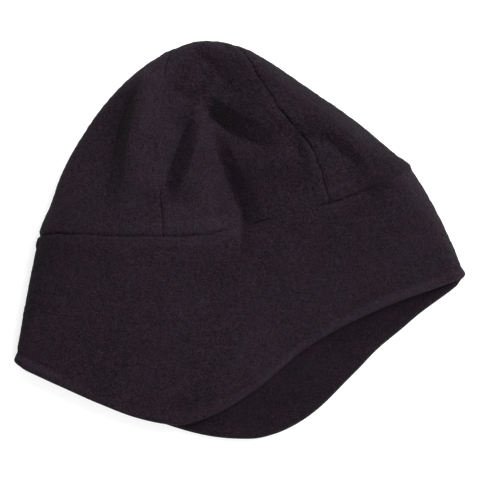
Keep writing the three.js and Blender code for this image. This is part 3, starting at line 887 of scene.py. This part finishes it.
def fleece_material(name, shade):
    """Brushed fleece: clumps of pile with fine curled fibres on them, its colours times a shade,
    which is painted shade for the inside's copy, and lightened or darkened by the painted light and
    shade of a vertex attribute.
    """
    material = bpy.data.materials.new(name)
    material.use_nodes = True
    nodes = material.node_tree.nodes
    links = material.node_tree.links
    shader = nodes["Principled BSDF"]
    set_inputs(shader, FLEECE_SHADER)
    place = nodes.new("ShaderNodeTexCoord")

    def put(socket, value):
        if isinstance(value, bpy.types.NodeSocket):
            links.new(value, socket)
        else:
            socket.default_value = value

    def math(kind, first, second=0.0):
        node = nodes.new("ShaderNodeMath")
        node.operation = kind
        put(node.inputs[0], first)
        put(node.inputs[1], second)
        return node.outputs[0]

    def mixed(kind, blend, factor, first, second):
        node = nodes.new("ShaderNodeMix")
        node.data_type = kind
        node.blend_type = blend
        first_input, second_input, output = MIX_SOCKETS[kind]
        put(node.inputs[0], factor)
        put(node.inputs[first_input], first)
        put(node.inputs[second_input], second)
        return node.outputs[output]

    def noise(kind):
        node = nodes.new("ShaderNodeTexNoise")
        sockets = ("Scale", "Detail", "Roughness", "Distortion")
        set_inputs(node, dict(zip(sockets, PILE_NOISES[kind])))
        links.new(place.outputs["Object"], node.inputs["Vector"])
        return node.outputs["Fac"]

    def ranged(kind, value):
        node = nodes.new("ShaderNodeMapRange")
        sockets = ("From Min", "From Max", "To Min", "To Max")
        set_inputs(node, dict(zip(sockets, PILE_NOISES[kind][4:])))
        links.new(value, node.inputs["Value"])
        return node.outputs["Result"]

    clumps = ranged("clumps", noise("clumps"))
    curls = ranged("curls", math("ABSOLUTE", math("SUBTRACT", noise("curls"), NOISE_MIDDLE)))
    fibres = ranged("fibres", noise("fibres"))
    pile = math("ADD", math("MULTIPLY", clumps, CLUMPS_SHARE), math("MULTIPLY", curls, CURLS_SHARE))
    pile = math("ADD", pile, math("MULTIPLY", fibres, FIBRES_SHARE))
    matted = math("MULTIPLY", ranged("matted", noise("matted")), MATTED)
    pile = mixed("FLOAT", "MIX", matted, pile, PILE_MEAN)
    pile = math("MULTIPLY", math("SUBTRACT", pile, PILE_MEAN), PILE_CONTRAST)
    pile = math("ADD", pile, PILE_MEAN)
    # Painted light and shade from the vertex attribute lighten or darken the pile
    painted_light_and_pressed_pile = nodes.new("ShaderNodeAttribute")
    painted_light_and_pressed_pile.attribute_name = "painted_light_and_pressed_pile"
    pile = math("ADD", pile, math("MULTIPLY", painted_light_and_pressed_pile.outputs["Fac"], PAINTED_LIGHT_GAIN))

    ramp = nodes.new("ShaderNodeValToRGB")
    links.new(pile, ramp.inputs["Fac"])
    stops = ((GROUND_PLACE, PILE_GROUND), (TIPS_PLACE, PILE_TIPS))
    for stop, (position, color) in zip(ramp.color_ramp.elements, stops):
        stop.position = position
        stop.color = (*(part * shade for part in color), 1)
    clouds = ranged("clouds", noise("clouds"))
    hues = ranged("hues", noise("hues"))
    color = mixed("RGBA", "MULTIPLY", 1.0, ramp.outputs["Color"], clouds)
    cast = mixed("RGBA", "MIX", hues, (*CAST_COOL, 1), (*CAST_WARM, 1))
    links.new(mixed("RGBA", "MULTIPLY", 1.0, color, cast), shader.inputs["Base Color"])

    bump = nodes.new("ShaderNodeBump")
    set_inputs(bump, {"Strength": 1.0, "Distance": PILE_BUMP})
    links.new(pile, bump.inputs["Height"])
    links.new(bump.outputs["Normal"], shader.inputs["Normal"])
    return material


def floor():
    """White table that the hat lies on."""
    mesh = bpy.data.meshes.new("floor")
    corners = [(-1, -1), (1, -1), (1, 1), (-1, 1)]
    vertices = [(x * FLOOR_HALF, y * FLOOR_HALF, FLOOR_LEVEL) for x, y in corners]
    mesh.from_pydata(vertices, [], [(0, 1, 2, 3)])
    plane = bpy.data.objects.new("floor", mesh)
    bpy.context.scene.collection.objects.link(plane)
    material = bpy.data.materials.new("floor")
    material.use_nodes = True
    set_inputs(material.node_tree.nodes["Principled BSDF"], FLOOR_SHADER)
    mesh.materials.append(material)


def area_light(name, heading, height, distance, power, size):
    """Soft light that looks at the hat from a heading and a height above the table."""
    turn, rise = np.radians(heading), np.radians(height)
    place = Vector((np.cos(turn) * np.cos(rise), np.sin(turn) * np.cos(rise), np.sin(rise)))
    data = bpy.data.lights.new(name, "AREA")
    data.energy = power
    data.size = size
    light = bpy.data.objects.new(name, data)
    light.location = place * distance
    light.rotation_euler = place.to_track_quat("Z", "Y").to_euler()
    bpy.context.scene.collection.objects.link(light)


def camera():
    """Camera at the photograph's angle."""
    data = bpy.data.cameras.new("camera")
    data.sensor_width = SENSOR
    data.lens = SENSOR * (VIEW_HEIGHT - VIEW_LEVEL) / VIEW_WIDTH
    data.clip_end = VIEW_END * MM
    eye = bpy.data.objects.new("camera", data)
    eye.location = Vector((VIEW_X - ORIGIN_X, VIEW_Y - ORIGIN_Y, VIEW_HEIGHT)) * MM
    eye.rotation_euler = (0, 0, -VIEW_ROLL)
    bpy.context.scene.collection.objects.link(eye)
    bpy.context.scene.camera = eye


def surroundings():
    """Even white light from all round, and the soft lights."""
    world = bpy.data.worlds.new("studio")
    world.use_nodes = True
    background = world.node_tree.nodes["Background"]
    set_inputs(background, {"Color": (1, 1, 1, 1), "Strength": WORLD_STRENGTH})
    bpy.context.scene.world = world
    bpy.context.scene.view_settings.view_transform = "Standard"
    for name, row in LIGHTS.items():
        area_light(name, *row)


def finished(piece, name, material):
    """Hands a piece of cloth over in place of its CAD solid."""
    piece.data.materials.append(material)
    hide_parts(name)
    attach(piece, "root")


camera()
surroundings()
floor()
fleece = fleece_material("fleece", 1.0)
# The inside's copy of the fleece is darkened by painted shade
inside_fleece_painted_shade = fleece_material("fleece_inside_painted_shade", INSIDE_PAINTED_SHADE)

for number, name in enumerate(GORE_NAMES):
    first, last = CROWN_SEAMS[number], CROWN_SEAMS[(number + 1) % len(CROWN_SEAMS)]
    if last.azimuth < first.azimuth:
        last = last._replace(azimuth=last.azimuth + 360)
    seed = SEED_GORES + SEED_GORE_STEP * number
    finished(gore_piece(name + "_cloth", first, last, seed), name, fleece)
finished(band_piece("band_outer_cloth", 0.0, True, SEED_BAND), "band_outer", fleece)
facing = band_piece("band_facing_cloth", WALL + LAYER_GAP, False, SEED_FACING)
finished(facing, "band_facing", inside_fleece_painted_shade)
